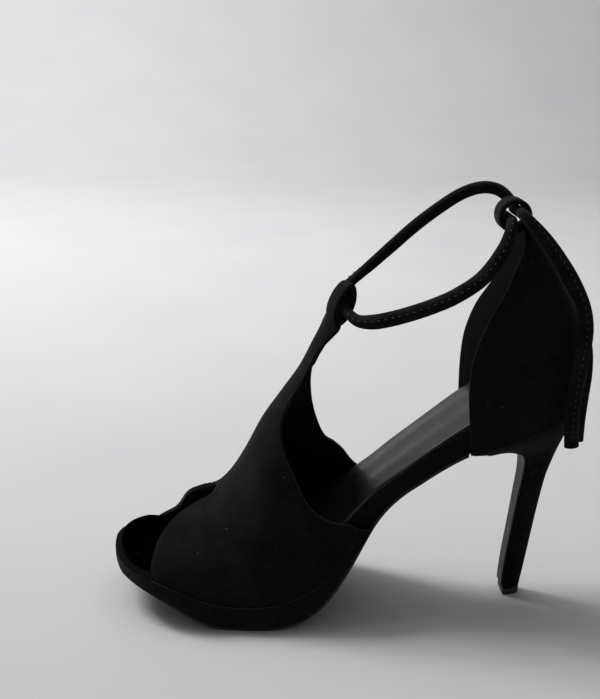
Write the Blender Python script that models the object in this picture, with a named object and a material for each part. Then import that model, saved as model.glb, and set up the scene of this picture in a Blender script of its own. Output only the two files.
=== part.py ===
"""Lace-up peep toe stiletto, left shoe, standing empty on its sole.

Sizes are in millimetres and are turned to metres by place(). "forward" runs from the centre of the
heel tip to the toe, "side" is positive towards the inner (big toe) side and "height" is up from the
floor. In the world the toe points along -X, the outer side is -Y and +Z is up.
"""
import math

import bmesh
import bpy
import numpy as np
from mathutils import Vector

MM = 0.001
CENTRE_FORWARD = 82.5
CENTRE_SIDE = 0.65

# Layers and gaps
GAP = 0.3
OUTSOLE = 1.5
SOCK = 2.0
UPPER_WALL = 2.0
COUNTER_WALL = 2.4
BREAST_SHEET = 0.9
BREAST_SHARE = 0.92
SEAM_SLACK = 0.2

# Margins that change along the shoe, each between two places
DRAW_IN = {"size": 3.2, "start": 56.0, "end": 72.0}
OPEN_TOE = {"size": 2.6, "start": 171.0, "end": 180.0}
OUTSOLE_WIDEN = {"size": 2.0, "start": 66.0, "end": 86.0}
RIDGE_SKEW = {"size": 4.5, "start": 100.0, "end": 150.0}
UNDERCUT = {"size": 3.0, "start": 142.0, "end": 172.0}
TIP_LIFT = {"size": 3.0, "start": 187.0, "end": 193.0}
OUTSOLE_INSET = 1.0
SOCK_INSET = 0.7

# Ends of the sole pieces along the shoe
TOE_START = 140.0
TOE_TURN = 167.0
TOE_END = 190.0
TOE_SIDE = 11.0
SEAT_START = 27.0
SEAT_END = -21.0
PLATFORM_REAR = 79.5
SEAM_EASE = 3.5
BREAST_LINE = 27.5
TOE_ROUNDNESS = 2.25
SEAT_ROUNDNESS = 2.3
COUNTER_SQUARENESS = 0.13
HEEL_SQUARENESS = 0.87

# Heel
LIFT_HEIGHT = 3.2
SEAT_FRONT_HEIGHT = 81.2
SEAT_BACK = -24.0
SEAT_BACK_HEIGHT = 98.5

# The strap turns about its own line below the front loop, over these places and these angles
STRAP_TURN = {"size": 30.0, "start": 98.0, "end": 89.0}
STRAP_HOLD = {"size": 1.0, "start": 70.0, "end": 78.0}

# Loops that the lace runs through, on the centre line; turn brings the outer end back, in degrees
FRONT_LOOP = {"forward": 85.0, "height": 147.0, "half_depth": 5.1, "half_height": 7.3, "wall": 2.0,
              "width": 9.2, "turn": 24.0}
REAR_LOOP = {"forward": 11.3, "height": 185.8, "half_depth": 7.6, "half_height": 7.7, "wall": 2.0,
             "width": 11.5, "turn": 0.0}
LACE_DIAMETER = 4.8

# Mesh fineness
STATION_SPACING = 4.0
TOE_STEPS = 10
VAMP_ROWS = 16
VAMP_COLUMNS = 15
COUNTER_ROWS = 16
COUNTER_COLUMNS = 10
LOOP_STEPS = 28


class Table:
    """Rows of sizes that are read smoothly between the rows by the first column."""

    def __init__(self, columns, *rows):
        self.columns = columns.split()
        self.values = np.array(sorted(rows), float)

    def read(self, column, at):
        keys = self.values[:, 0]
        sizes = self.values[:, self.columns.index(column)]
        slopes = np.gradient(sizes, keys)
        i = int(np.clip(np.searchsorted(keys, at) - 1, 0, len(keys) - 2))
        span = keys[i + 1] - keys[i]
        t = float(np.clip((at - keys[i]) / span, 0.0, 1.0))
        ends = (1 + 2 * t) * (1 - t) ** 2 * sizes[i] + t * t * (3 - 2 * t) * sizes[i + 1]
        bends = t * (1 - t) ** 2 * slopes[i] - t * t * (1 - t) * slopes[i + 1]
        return ends + span * bends


# The sole's side view: its lower face and the thickness of the block under the forefoot
UNDER = Table(
    "forward under",
    (26.0, 80.0), (30.0, 77.9), (37.0, 73.5), (48.0, 65.6), (59.0, 57.4), (65.0, 51.5), (70.0, 44.8),
    (75.0, 36.2), (80.0, 27.4), (85.0, 19.5), (90.0, 12.7), (95.0, 7.3), (100.0, 3.7), (106.0, 1.2),
    (112.0, 0.2), (117.0, 0.0), (128.0, 0.0), (135.0, 0.0), (140.0, 0.35), (146.0, 1.6), (152.0, 3.6), (158.0, 6.0),
    (168.0, 9.6), (178.0, 12.4), (193.0, 14.4))
BLOCK = Table(
    "forward block",
    (79.0, 0.7), (84.0, 5.8), (90.0, 10.1), (96.0, 12.4), (103.0, 13.1), (112.0, 12.1), (125.0, 11.0),
    (135.0, 11.0), (146.0, 11.3), (156.0, 10.9), (166.0, 10.2), (180.0, 8.6), (193.0, 7.4))

# The board that carries the foot: its upper face and its outline on the outer and inner side
BOARD = Table(
    "forward seat outer inner",
    (-22.0, 111.0, 22.8, 22.8), (-14.0, 110.6, 22.8, 22.8), (-4.0, 109.0, 22.8, 22.8),
    (4.0, 106.8, 22.8, 22.8), (12.0, 103.6, 22.8, 22.8), (20.0, 99.3, 22.8, 22.8),
    (28.0, 93.8, 22.6, 22.6), (38.0, 86.2, 21.8, 21.8), (48.0, 78.3, 21.4, 21.2),
    (59.0, 69.4, 22.0, 21.4), (66.0, 63.6, 23.4, 22.5), (73.5, 57.0, 25.8, 24.4),
    (80.0, 50.8, 28.2, 26.6), (90.0, 40.5, 31.6, 30.2), (100.0, 30.2, 34.2, 33.2),
    (108.0, 23.2, 35.6, 35.0), (115.0, 18.9, 36.2, 36.0), (122.0, 16.7, 36.5, 36.8),
    (130.0, 16.2, 36.2, 37.5), (140.0, 16.3, 35.6, 37.8), (150.0, 18.7, 35.6, 37.8),
    (158.0, 21.4, 35.6, 37.8), (165.0, 23.1, 35.6, 37.8), (178.0, 25.0, 35.6, 37.8),
    (193.0, 25.7, 35.6, 37.8))

# Ridge of the vamp over the instep and how full its sections are (1 is round, 2 is peaked)
RIDGE = Table(
    "forward ridge fullness",
    (70.0, 180.0, 2.0), (84.0, 154.0, 2.0), (90.0, 142.0, 2.0), (97.0, 127.5, 2.0),
    (104.0, 114.5, 2.0), (112.0, 103.0, 1.95), (122.5, 87.5, 1.9), (129.0, 74.0, 1.8),
    (135.5, 62.6, 1.7), (143.0, 54.2, 1.6), (150.0, 51.8, 1.5), (158.0, 49.0, 1.45),
    (166.0, 45.5, 1.4), (176.0, 40.5, 1.4))

# Edges of the vamp, from the sole (0) to the ridge (1): place along the shoe and angle round the foot
TOE_OUTER_EDGE = Table(
    "along forward angle",
    (0.0, 172.0, 0.0), (0.22, 171.8, 20.0), (0.42, 170.6, 38.0), (0.58, 167.6, 54.0),
    (0.72, 161.4, 67.5), (0.84, 153.0, 75.5), (0.94, 145.4, 81.5), (1.0, 142.8, 90.0))
TOE_INNER_EDGE = Table(
    "along forward angle",
    (0.0, 168.6, 0.0), (0.22, 166.9, 19.0), (0.42, 164.0, 37.0), (0.58, 160.4, 52.0),
    (0.72, 156.0, 64.5), (0.84, 150.4, 73.5), (0.94, 144.6, 81.5), (1.0, 142.8, 90.0))
OUTER_EDGE = Table(
    "along forward angle",
    (0.0, 70.8, 0.0), (0.04, 72.3, 5.6), (0.08, 74.8, 11.8), (0.13, 79.2, 19.0), (0.21, 86.2, 24.5), (0.26, 90.7, 28.0),
    (0.30, 94.35, 31.1), (0.345, 98.0, 34.6), (0.385, 101.1, 38.3), (0.42, 103.4, 42.2), (0.455, 105.7, 46.2),
    (0.50, 108.4, 51.2), (0.545, 111.1, 56.3), (0.60, 113.2, 63.5), (0.66, 113.2, 69.5), (0.72, 110.0, 73.8),
    (0.79, 103.5, 75.6), (0.86, 97.5, 76.5), (0.93, 91.8, 78.2), (0.972, 89.9, 80.0), (1.0, 89.2, 90.0))
INNER_EDGE = Table(
    "along forward angle",
    (0.0, 67.6, 0.0), (0.08, 71.3, 13.5), (0.18, 78.8, 27.0), (0.28, 85.6, 34.4), (0.38, 90.6, 39.0),
    (0.50, 94.9, 46.2),
    (0.62, 98.6, 56.5), (0.72, 99.6, 66.0), (0.80, 98.0, 73.0), (0.88, 94.6, 77.0),
    (0.95, 90.8, 79.0), (0.98, 89.8, 81.0), (1.0, 89.2, 90.0))

# Heel counter, from its lower edge (0) to the tab under the rear loop (1); bend is the angle its
# section turns through on each side
COUNTER = Table(
    "level back back_height outer_front outer_height inner_front inner_height half bend",
    (0.00, -24.0, 98.9, 28.0, 81.5, 25.0, 82.5, 25.9, 90.0),
    (0.14, -26.8, 108.0, 29.4, 95.0, 25.6, 96.0, 26.9, 90.0),
    (0.28, -27.5, 118.0, 30.8, 112.0, 25.6, 112.0, 27.3, 90.0),
    (0.42, -25.6, 130.0, 29.6, 127.0, 24.4, 126.0, 26.2, 88.0),
    (0.56, -20.6, 143.0, 23.8, 141.5, 20.6, 140.0, 22.6, 84.0),
    (0.70, -13.8, 155.0, 16.2, 153.6, 14.6, 152.6, 17.6, 78.0),
    (0.82, -6.8, 166.0, 10.6, 164.4, 10.6, 164.0, 12.2, 68.0),
    (0.92, -0.4, 175.2, 5.6, 174.4, 5.6, 174.4, 7.4, 54.0),
    (1.00, 3.9, 182.0, 5.4, 181.8, 5.4, 181.8, 5.6, 40.0))

# Heel sections from the tip up: each is a slice between a back and a front point
HEEL = Table(
    "slice back back_height front front_height half",
    (0, -4.8, 3.5, 3.9, 3.5, 5.0), (1, -6.9, 18.0, 3.0, 18.0, 5.0),
    (2, -9.3, 36.0, 1.0, 36.0, 5.2), (3, -11.3, 50.0, -0.5, 50.0, 5.6),
    (4, -13.4, 62.0, -1.9, 61.5, 6.4), (5, -15.6, 70.0, -2.2, 69.0, 7.8),
    (6, -17.6, 76.5, -0.8, 74.8, 10.2), (7, -19.5, 82.0, 3.6, 78.2, 13.8),
    (8, -21.2, 87.5, 10.5, 80.2, 18.0), (9, -22.7, 93.0, 19.0, 80.2, 22.0),
    (10, SEAT_BACK, SEAT_BACK_HEIGHT, BREAST_LINE, SEAT_FRONT_HEIGHT, 25.7))

# Route of the lace: out of the rear loop, through the front loop and back, chosen by hand
LACE_ROUTE = (
    (13.1, 8.6, 184.0), (13.1, 3.0, 184.0), (13.1, -2.0, 184.0), (13.1, -6.8, 183.9),
    (14.2, -10.8, 180.4), (17.6, -13.2, 171.6), (26.0, -15.6, 160.6), (37.0, -17.5, 153.2),
    (47.0, -18.8, 148.0), (57.0, -18.6, 143.8), (66.0, -16.8, 140.6), (73.0, -14.2, 139.6),
    (79.0, -10.6, 141.2), (82.6, -5.6, 144.6), (85.0, 0.0, 146.6), (87.0, 5.0, 148.2),
    (87.6, 9.0, 150.2), (84.6, 12.6, 153.0), (79.2, 14.6, 156.4), (72.0, 16.0, 160.6),
    (63.0, 17.2, 166.4), (52.5, 18.8, 175.6),
    (42.0, 18.6, 185.0), (32.0, 16.8, 192.2), (23.0, 15.2, 195.6), (15.6, 13.8, 194.8),
    (10.8, 11.2, 191.0), (9.5, 6.8, 187.8), (9.5, 2.0, 187.7), (9.5, -3.0, 187.7), (9.5, -8.6, 187.7))
OUTER_TAIL_ROUTE = (
    (9.5, -9.3, 187.7), (9.4, -12.2, 187.6), (5.2, -15.0, 183.2), (-0.4, -15.2, 177.0),
    (-7.0, -15.4, 168.8), (-13.4, -16.4, 159.2), (-18.4, -17.8, 148.6), (-20.0, -19.8, 138.6),
    (-18.8, -22.0, 127.8), (-17.4, -22.8, 116.8), (-16.8, -22.4, 105.6), (-17.2, -21.0, 95.6),
    (-18.2, -19.4, 88.4), (-18.8, -18.8, 83.6))
INNER_TAIL_ROUTE = (
    (13.1, 9.3, 184.0), (13.0, 12.4, 183.9), (8.6, 15.6, 179.8), (1.4, 15.6, 174.0),
    (-6.4, 14.6, 165.8), (-14.0, 13.6, 155.8), (-21.0, 12.0, 145.0), (-26.6, 10.0, 133.4),
    (-29.8, 8.0, 121.6), (-30.4, 6.6, 110.0), (-29.6, 5.8, 99.0), (-28.9, 5.3, 88.0),
    (-28.8, 5.0, 77.0))


def place(forward, side, height):
    """World point, in metres, of a point on the shoe."""
    return Vector((CENTRE_FORWARD - forward, side - CENTRE_SIDE, height)) * MM


def ramp(change, forward):
    """Margin that grows smoothly from nothing to its size between two places along the shoe."""
    share = float(np.clip((forward - change["start"]) / (change["end"] - change["start"]), 0.0, 1.0))
    return change["size"] * share * share * (3 - 2 * share)


def under(forward):
    """Lower face of the sole, level where the forefoot stands."""
    return max(UNDER.read("under", forward), 0.0)


def outsole_top(forward):
    """Upper face of the outsole, which is a sheet of even thickness along the slope."""
    step = 1.0
    slope = (under(forward + step) - under(forward - step)) / (2 * step)
    return under(forward) + OUTSOLE * math.hypot(1.0, slope)


def seam(forward):
    """Line where the vamp stands on the platform, eased down to the outsole behind it."""
    block = BLOCK.read("block", max(forward, PLATFORM_REAR)) + GAP
    ease = min(max(1.0 + (forward - PLATFORM_REAR) / SEAM_EASE, 0.0), 1.0)
    return outsole_top(forward) + block * ease * ease + GAP


def seat_plane(forward):
    """Sloping plane between the heel and what stands on it."""
    share = (BREAST_LINE - forward) / (BREAST_LINE - SEAT_BACK)
    return SEAT_FRONT_HEIGHT + share * (SEAT_BACK_HEIGHT - SEAT_FRONT_HEIGHT)


def outline(forward, grow):
    """Outer and inner edge of the board's outline, grown outwards by a margin."""
    outer = BOARD.read("outer", forward)
    inner = BOARD.read("inner", forward)
    if forward > TOE_START:
        along = min((forward - TOE_START) / (TOE_END + grow - TOE_START), 1.0)
        narrow = (1.0 - along ** TOE_ROUNDNESS) ** (1.0 / TOE_ROUNDNESS)
        return TOE_SIDE - (outer + grow + TOE_SIDE) * narrow, TOE_SIDE + (inner + grow - TOE_SIDE) * narrow
    if forward < SEAT_START:
        along = min((SEAT_START - forward) / (SEAT_START - SEAT_END + grow), 1.0)
        narrow = (1.0 - along ** SEAT_ROUNDNESS) ** (1.0 / SEAT_ROUNDNESS)
        return -(outer + grow) * narrow, (inner + grow) * narrow
    return -(outer + grow), inner + grow


def stations(rear, grow):
    """Places along the shoe for the slices of a sole piece, closer together round the toe and heel.

    All pieces share the places in between, so that faces lying on each other bend at the same lines.
    """
    low = max(rear, SEAT_START)
    shared = np.arange(SEAT_START, TOE_TURN + 0.5 * STATION_SPACING, STATION_SPACING)
    marks = [low] + [mark for mark in shared if low + 1.0 < mark]
    turns = [math.radians(87.0) * i / TOE_STEPS for i in range(1, TOE_STEPS + 1)]
    marks += [TOE_TURN + (TOE_END + grow - TOE_TURN) * math.sin(turn) for turn in turns]
    if rear < SEAT_START:
        marks += [SEAT_START - (SEAT_START - SEAT_END + grow) * math.sin(turn) for turn in turns]
    return sorted(marks)


def slice_ring(forward, edges, low, high, rounding):
    """Ring of one slice across the sole: flat top and bottom with rounded sides."""
    outer, inner = edges
    lift = high - low
    bulge = min(rounding, 0.45 * (inner - outer))
    profile = ((bulge, 0.0), (0.3 * bulge, 0.12), (0.0, 0.4), (0.0, 0.75), (0.35 * bulge, 1.0))
    left = [(outer + inset, low + lift * share) for inset, share in profile]
    right = [(inner - inset, low + lift * share) for inset, share in reversed(profile)]
    return [place(forward, side, height) for side, height in left + right]


def finish_mesh(name, bm, material, sharp_angle=40.0):
    """Put a finished bmesh into an object of the given name and material."""
    bmesh.ops.recalc_face_normals(bm, faces=bm.faces)
    mesh = bpy.data.meshes.new(name)
    bm.to_mesh(mesh)
    bm.free()
    mesh.materials.append(material)
    mesh.shade_smooth()
    mesh.set_sharp_from_angle(angle=math.radians(sharp_angle))
    piece = bpy.data.objects.new(name, mesh)
    bpy.context.scene.collection.objects.link(piece)
    return piece


def loft(name, rings, material):
    """Closed solid through rings of equal count, with a flat cap at each end."""
    bm = bmesh.new()
    loops = [[bm.verts.new(point) for point in ring] for ring in rings]
    for lower, upper in zip(loops[:-1], loops[1:]):
        for i in range(len(lower)):
            k = (i + 1) % len(lower)
            bm.faces.new((lower[i], lower[k], upper[k], upper[i]))
    bm.faces.new(loops[0])
    bm.faces.new(loops[-1])
    return finish_mesh(name, bm, material)


def shell(name, grid, wall, material):
    """Thin-walled solid under a grid of outer points; the wall is grown inwards."""
    points = np.array([[tuple(point) for point in row] for row in grid])
    across = np.gradient(points, axis=1)
    along = np.gradient(points, axis=0)
    normals = np.cross(along, across)
    normals /= np.linalg.norm(normals, axis=2, keepdims=True)
    middle = points.reshape(-1, 3).mean(axis=0)
    outward = np.sum((points - middle) * normals) > 0
    inner = points + normals * wall * MM * (-1.0 if outward else 1.0)
    bm = bmesh.new()
    skins = [[[bm.verts.new(point) for point in row] for row in layer] for layer in (points, inner)]
    rows, columns = points.shape[:2]
    for layer in skins:
        for i in range(rows - 1):
            for j in range(columns - 1):
                bm.faces.new((layer[i][j], layer[i + 1][j], layer[i + 1][j + 1], layer[i][j + 1]))
    rim = [(0, j) for j in range(columns)] + [(i, columns - 1) for i in range(1, rows)]
    rim += [(rows - 1, j) for j in range(columns - 2, -1, -1)] + [(i, 0) for i in range(rows - 2, 0, -1)]
    for (i, j), (m, n) in zip(rim, rim[1:] + rim[:1]):
        bm.faces.new((skins[0][i][j], skins[0][m][n], skins[1][m][n], skins[1][i][j]))
    return finish_mesh(name, bm, material)


def fold_loop(name, size, material):
    """Flat strip bent into an oval ring across the shoe, with rounded edges."""
    half = 0.5 * size["width"]
    skew = math.radians(size["turn"])
    wall = size["wall"]
    profile = ((0.0, -half + 1.0), (0.0, half - 1.0), (0.3 * wall, half), (0.7 * wall, half),
               (wall, half - 1.0), (wall, -half + 1.0), (0.7 * wall, -half), (0.3 * wall, -half))
    bm = bmesh.new()
    loops = []
    for step in range(LOOP_STEPS):
        turn = 2.0 * math.pi * step / LOOP_STEPS
        ring = []
        for inset, side in profile:
            ahead = (size["half_depth"] - inset) * math.cos(turn)
            forward = size["forward"] + ahead * math.cos(skew) + side * math.sin(skew)
            height = size["height"] + (size["half_height"] - inset) * math.sin(turn)
            across = side * math.cos(skew) - ahead * math.sin(skew)
            ring.append(bm.verts.new(place(forward, across, height)))
        loops.append(ring)
    for lower, upper in zip(loops, loops[1:] + loops[:1]):
        for i in range(len(profile)):
            k = (i + 1) % len(profile)
            bm.faces.new((lower[i], lower[k], upper[k], upper[i]))
    ring_piece = finish_mesh(name, bm, material)
    ring_piece.hide_render = True
    ring_piece.display_type = "WIRE"
    return ring_piece


def join_loop(piece, ring_piece):
    """Fuse a folded loop to the end of its strap."""
    union = piece.modifiers.new("loop", "BOOLEAN")
    union.operation = "UNION"
    union.solver = "EXACT"
    union.object = ring_piece


def make_outsole(material):
    rings = []
    for forward in stations(BREAST_LINE + 0.6, outsole_margin(TOE_END)):
        edges = outline(forward, outsole_margin(forward))
        rings.append(slice_ring(forward, edges, under(forward), outsole_top(forward), 0.6))
    return loft("outsole", rings, material)


def outsole_margin(forward):
    """The outsole stays a little inside the wrapped sides above it."""
    return ramp(OUTSOLE_WIDEN, forward) - ramp(UNDERCUT, forward) - OUTSOLE_INSET


def make_platform(material):
    margin = UPPER_WALL + 2 * GAP
    rings = []
    for forward in stations(PLATFORM_REAR, margin):
        low = outsole_top(forward) + GAP + ramp(TIP_LIFT, forward)
        high = seam(forward) - GAP
        rounding = 1.6 + ramp(UNDERCUT, forward)
        rings.append(slice_ring(forward, outline(forward, margin), low, high, rounding))
    return loft("platform", rings, material)


def board_margin(forward):
    """The board is drawn in where the leaning vamp wall stands round it."""
    return ramp(OPEN_TOE, forward) - ramp(DRAW_IN, forward)


def make_board(material):
    rings = []
    for forward in stations(SEAT_END, board_margin(TOE_END)):
        edges = outline(forward, board_margin(forward))
        low = seat_plane(forward) + GAP if forward < BREAST_LINE else seam(forward)
        rings.append(slice_ring(forward, edges, low, BOARD.read("seat", forward), 0.8))
    return loft("insole_board", rings, material)


def make_sock(material):
    rings = []
    for forward in stations(SEAT_END, board_margin(TOE_END) - SOCK_INSET):
        edges = outline(forward, board_margin(forward) - SOCK_INSET)
        low = BOARD.read("seat", forward) + GAP
        rings.append(slice_ring(forward, edges, low, low + SOCK, 1.6))
    return loft("sock", rings, material)


def vamp_point(forward, angle, inner_side):
    """Point of the vamp's outer face: angle 0 is at the sole and 90 on the ridge."""
    outer, inner = outline(forward, UPPER_WALL + GAP)
    turn = math.radians(angle)
    ridge_side = ramp(RIDGE_SKEW, forward)
    edge = inner if inner_side else outer
    low = seam(forward) + SEAM_SLACK
    rise = math.sin(turn) ** RIDGE.read("fullness", forward)
    height = low + (RIDGE.read("ridge", forward) - low) * rise
    reach = (edge - ridge_side) * math.cos(turn)
    skew = math.radians(ramp(STRAP_TURN, forward) * ramp(STRAP_HOLD, angle))
    return place(forward + reach * math.sin(skew), ridge_side + reach * math.cos(skew), height)


def vamp_half_row(across, inner_side):
    """Points of one row of the vamp, from the sole to the ridge; across is 0 at the toe edge."""
    rear = INNER_EDGE if inner_side else OUTER_EDGE
    front = TOE_INNER_EDGE if inner_side else TOE_OUTER_EDGE
    row = []
    for step in range(VAMP_COLUMNS + 1):
        along = step / VAMP_COLUMNS
        forward, angle = (
            (1 - across) * front.read(column, along) + across * rear.read(column, along)
            for column in ("forward", "angle"))
        row.append(vamp_point(forward, angle, inner_side))
    return row


def make_vamp(material):
    grid = []
    for i in range(VAMP_ROWS + 1):
        outer_row = vamp_half_row(i / VAMP_ROWS, False)
        inner_row = vamp_half_row(i / VAMP_ROWS, True)
        grid.append(outer_row + inner_row[-2::-1])
    vamp = shell("vamp", grid, UPPER_WALL, material)
    join_loop(vamp, fold_loop("front_loop_form", FRONT_LOOP, material))
    return vamp


def counter_point(level, turn, inner_side):
    """Point of the counter's outer face; turn runs from 0 at the back to 1 at the front edge."""
    side_name = "inner" if inner_side else "outer"
    back = COUNTER.read("back", level)
    front = COUNTER.read(side_name + "_front", level)
    bend = math.radians(COUNTER.read("bend", level))
    angle = bend * turn
    power = 1.0 - COUNTER_SQUARENESS * (bend / math.radians(90.0)) ** 2
    reach = max(math.cos(angle) - math.cos(bend), 0.0) / (1.0 - math.cos(bend))
    forward = front - (front - back) * reach ** power
    share = (forward - back) / (front - back)
    back_height = COUNTER.read("back_height", level)
    height = back_height + share * (COUNTER.read(side_name + "_height", level) - back_height)
    side = COUNTER.read("half", level) * (math.sin(angle) / math.sin(bend)) ** power
    return place(forward, side if inner_side else -side, height)


def make_counter(material):
    grid = []
    turns = [j / COUNTER_COLUMNS for j in range(COUNTER_COLUMNS + 1)]
    for i in range(COUNTER_ROWS + 1):
        level = i / COUNTER_ROWS
        outer_row = [counter_point(level, turn, False) for turn in reversed(turns)]
        inner_row = [counter_point(level, turn, True) for turn in turns[1:]]
        grid.append(outer_row + inner_row)
    counter = shell("counter", grid, COUNTER_WALL, material)
    join_loop(counter, fold_loop("rear_loop_form", REAR_LOOP, material))
    return counter


def heel_ring(row, steps=20):
    """One slice of the heel: a flat breast in front and a round back."""
    back = HEEL.read("back", row)
    front = HEEL.read("front", row)
    back_height = HEEL.read("back_height", row)
    rise = HEEL.read("front_height", row) - back_height
    ring = []
    for step in range(steps + 1):
        turn = math.pi * (step / steps - 0.5)
        reach = max(math.cos(turn), 0.0) ** HEEL_SQUARENESS
        spread = math.copysign(abs(math.sin(turn)) ** HEEL_SQUARENESS, turn)
        side = HEEL.read("half", row) * spread
        ring.append(place(front - (front - back) * reach, side, back_height + (1.0 - reach) * rise))
    return ring


def make_heel(material):
    last = int(HEEL.values[-1, 0])
    rings = [heel_ring(0.5 * i) for i in range(2 * last + 1)]
    return loft("heel", rings, material)


def make_breast(material):
    """Thin facing down the heel's front face."""
    rings = []
    for i in range(19):
        row = max(0.5 * i, 0.1)
        front = HEEL.read("front", row)
        height = HEEL.read("front_height", row)
        ahead = HEEL.read("front", row + 0.05) - HEEL.read("front", row - 0.05)
        rise = HEEL.read("front_height", row + 0.05) - HEEL.read("front_height", row - 0.05)
        length = math.hypot(ahead, rise)
        normal = (rise / length, -ahead / length)
        half = BREAST_SHARE * HEEL.read("half", row)
        ring = []
        face = GAP + BREAST_SHEET
        for side, lift in ((-half, GAP), (half, GAP), (half, face), (-half, face)):
            ring.append(place(front + normal[0] * lift, side, height + normal[1] * lift))
        rings.append(ring)
    return loft("heel_breast", rings, material)


def make_top_lift(material):
    """Wear piece under the heel, flat on the floor."""
    rings = []
    for height, shrink in ((0.0, 0.4), (0.5, 0.0), (LIFT_HEIGHT, 0.0)):
        ring = []
        for point in heel_ring(0.0):
            middle = place(0.5 * (HEEL.read("back", 0) + HEEL.read("front", 0)), 0.0, 0.0)
            flat = Vector((point.x, point.y, 0.0)) - middle
            scale = 1.02 - shrink * MM / flat.length
            ring.append(middle + flat * scale + Vector((0.0, 0.0, height * MM)))
        rings.append(ring)
    return loft("top_lift", rings, material)


def smooth_route(route, spacing):
    """Even points along a smooth curve through the points of a route."""
    points = np.array(route)
    slopes = np.gradient(points, axis=0)
    fine = []
    for i in range(len(points) - 1):
        for t in np.linspace(0.0, 1.0, 12, endpoint=False):
            ends = (1 + 2 * t) * (1 - t) ** 2 * points[i] + t * t * (3 - 2 * t) * points[i + 1]
            fine.append(ends + t * (1 - t) ** 2 * slopes[i] - t * t * (1 - t) * slopes[i + 1])
    fine = np.array(fine + [points[-1]])
    lengths = np.concatenate([[0.0], np.cumsum(np.linalg.norm(np.diff(fine, axis=0), axis=1))])
    marks = np.linspace(0.0, lengths[-1], max(3, math.ceil(lengths[-1] / spacing)) + 1)
    return np.stack([np.interp(marks, lengths, fine[:, axis]) for axis in range(3)], axis=1)


def make_cord(name, route, spacing, material):
    curve = bpy.data.curves.new(name, "CURVE")
    curve.dimensions = "3D"
    curve.bevel_depth = 0.5 * LACE_DIAMETER * MM
    curve.bevel_resolution = 2
    curve.use_fill_caps = True
    points = smooth_route(route, spacing)
    spline = curve.splines.new("POLY")
    spline.points.add(len(points) - 1)
    for target, point in zip(spline.points, points):
        target.co = (*place(*point), 1.0)
    spline.use_smooth = True
    curve.materials.append(material)
    piece = bpy.data.objects.new(name, curve)
    bpy.context.scene.collection.objects.link(piece)
    return piece


def make_material(name, colour, roughness):
    material = bpy.data.materials.new(name)
    material.use_nodes = True
    shader = material.node_tree.nodes["Principled BSDF"]
    shader.inputs["Base Color"].default_value = (*colour, 1.0)
    shader.inputs["Roughness"].default_value = roughness
    shader.inputs["Metallic"].default_value = 0.0
    return material


def clear_scene():
    for piece in list(bpy.data.objects):
        bpy.data.objects.remove(piece, do_unlink=True)


def build():
    clear_scene()
    make_outsole(make_material("outsole resin", (0.020, 0.020, 0.022), 0.45))
    make_platform(make_material("platform suede", (0.012, 0.012, 0.014), 0.95))
    make_board(make_material("board suede", (0.012, 0.012, 0.014), 0.95))
    make_sock(make_material("sock synthetic leather", (0.015, 0.015, 0.016), 0.30))
    make_vamp(make_material("vamp suede", (0.012, 0.012, 0.014), 0.95))
    make_counter(make_material("counter suede", (0.012, 0.012, 0.014), 0.95))
    make_heel(make_material("heel suede", (0.012, 0.012, 0.014), 0.95))
    make_breast(make_material("breast sheet", (0.020, 0.020, 0.022), 0.35))
    make_top_lift(make_material("lift plastic", (0.018, 0.018, 0.018), 0.50))
    lace_suede = make_material("lace suede", (0.014, 0.013, 0.012), 0.90)
    make_cord("lace", LACE_ROUTE, 5.0, lace_suede)
    make_cord("lace_tail_outer", OUTER_TAIL_ROUTE, 4.0, lace_suede)
    make_cord("lace_tail_inner", INNER_TAIL_ROUTE, 4.0, lace_suede)


build()
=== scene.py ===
"""Lace-up peep toe stiletto: the finished left shoe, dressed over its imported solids.

Sizes are in millimetres and are turned to metres by place(). "forward" runs from the centre of the
heel tip to the toe, "side" is positive towards the inner (big toe) side and "height" is up from the
floor. In the world the toe points along -X, the outer side is -Y and +Z is up.
"""
import logging
import math
from dataclasses import dataclass, field
from enum import Enum
from typing import Callable, Sequence

import bmesh
import bpy
import numpy as np
from bmesh.types import BMesh
from bpy.types import Material, Node, NodeSocket, NodeTree, Object
from mathutils import Matrix, Quaternion, Vector


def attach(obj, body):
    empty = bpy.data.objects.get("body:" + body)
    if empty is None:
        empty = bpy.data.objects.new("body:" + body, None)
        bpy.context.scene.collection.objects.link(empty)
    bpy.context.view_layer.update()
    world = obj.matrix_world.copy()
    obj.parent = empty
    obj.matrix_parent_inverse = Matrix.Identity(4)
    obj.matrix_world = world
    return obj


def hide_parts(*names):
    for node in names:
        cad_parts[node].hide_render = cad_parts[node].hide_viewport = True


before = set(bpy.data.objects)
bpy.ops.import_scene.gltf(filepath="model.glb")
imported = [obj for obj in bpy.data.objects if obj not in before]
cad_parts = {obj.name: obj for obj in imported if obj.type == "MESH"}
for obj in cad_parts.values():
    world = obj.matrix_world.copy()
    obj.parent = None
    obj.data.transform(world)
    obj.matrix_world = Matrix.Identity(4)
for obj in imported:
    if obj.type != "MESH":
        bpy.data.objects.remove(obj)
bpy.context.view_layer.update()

LOG = logging.getLogger("stiletto")
MM = 0.001
CENTRE_FORWARD = 82.5
CENTRE_SIDE = 0.65
GAP = 0.3
SAME_POINT = 1e-7
CORNER_SHARE = 0.46

Line = list[tuple[Vector, Vector]]
Route = Sequence[tuple[float, float, float]]


class Slot(Enum):
    """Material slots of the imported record."""

    UPPER = "upper_suede"
    LACE = "lace_suede"
    SOCK = "sock_leather"
    OUTSOLE = "outsole_resin"
    BREAST = "breast_sheet"
    LIFT = "lift_plastic"


class Side(Enum):
    """Sides of the shoe."""

    OUTER = "outer"
    INNER = "inner"


# ---- measures of the shoe


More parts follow.
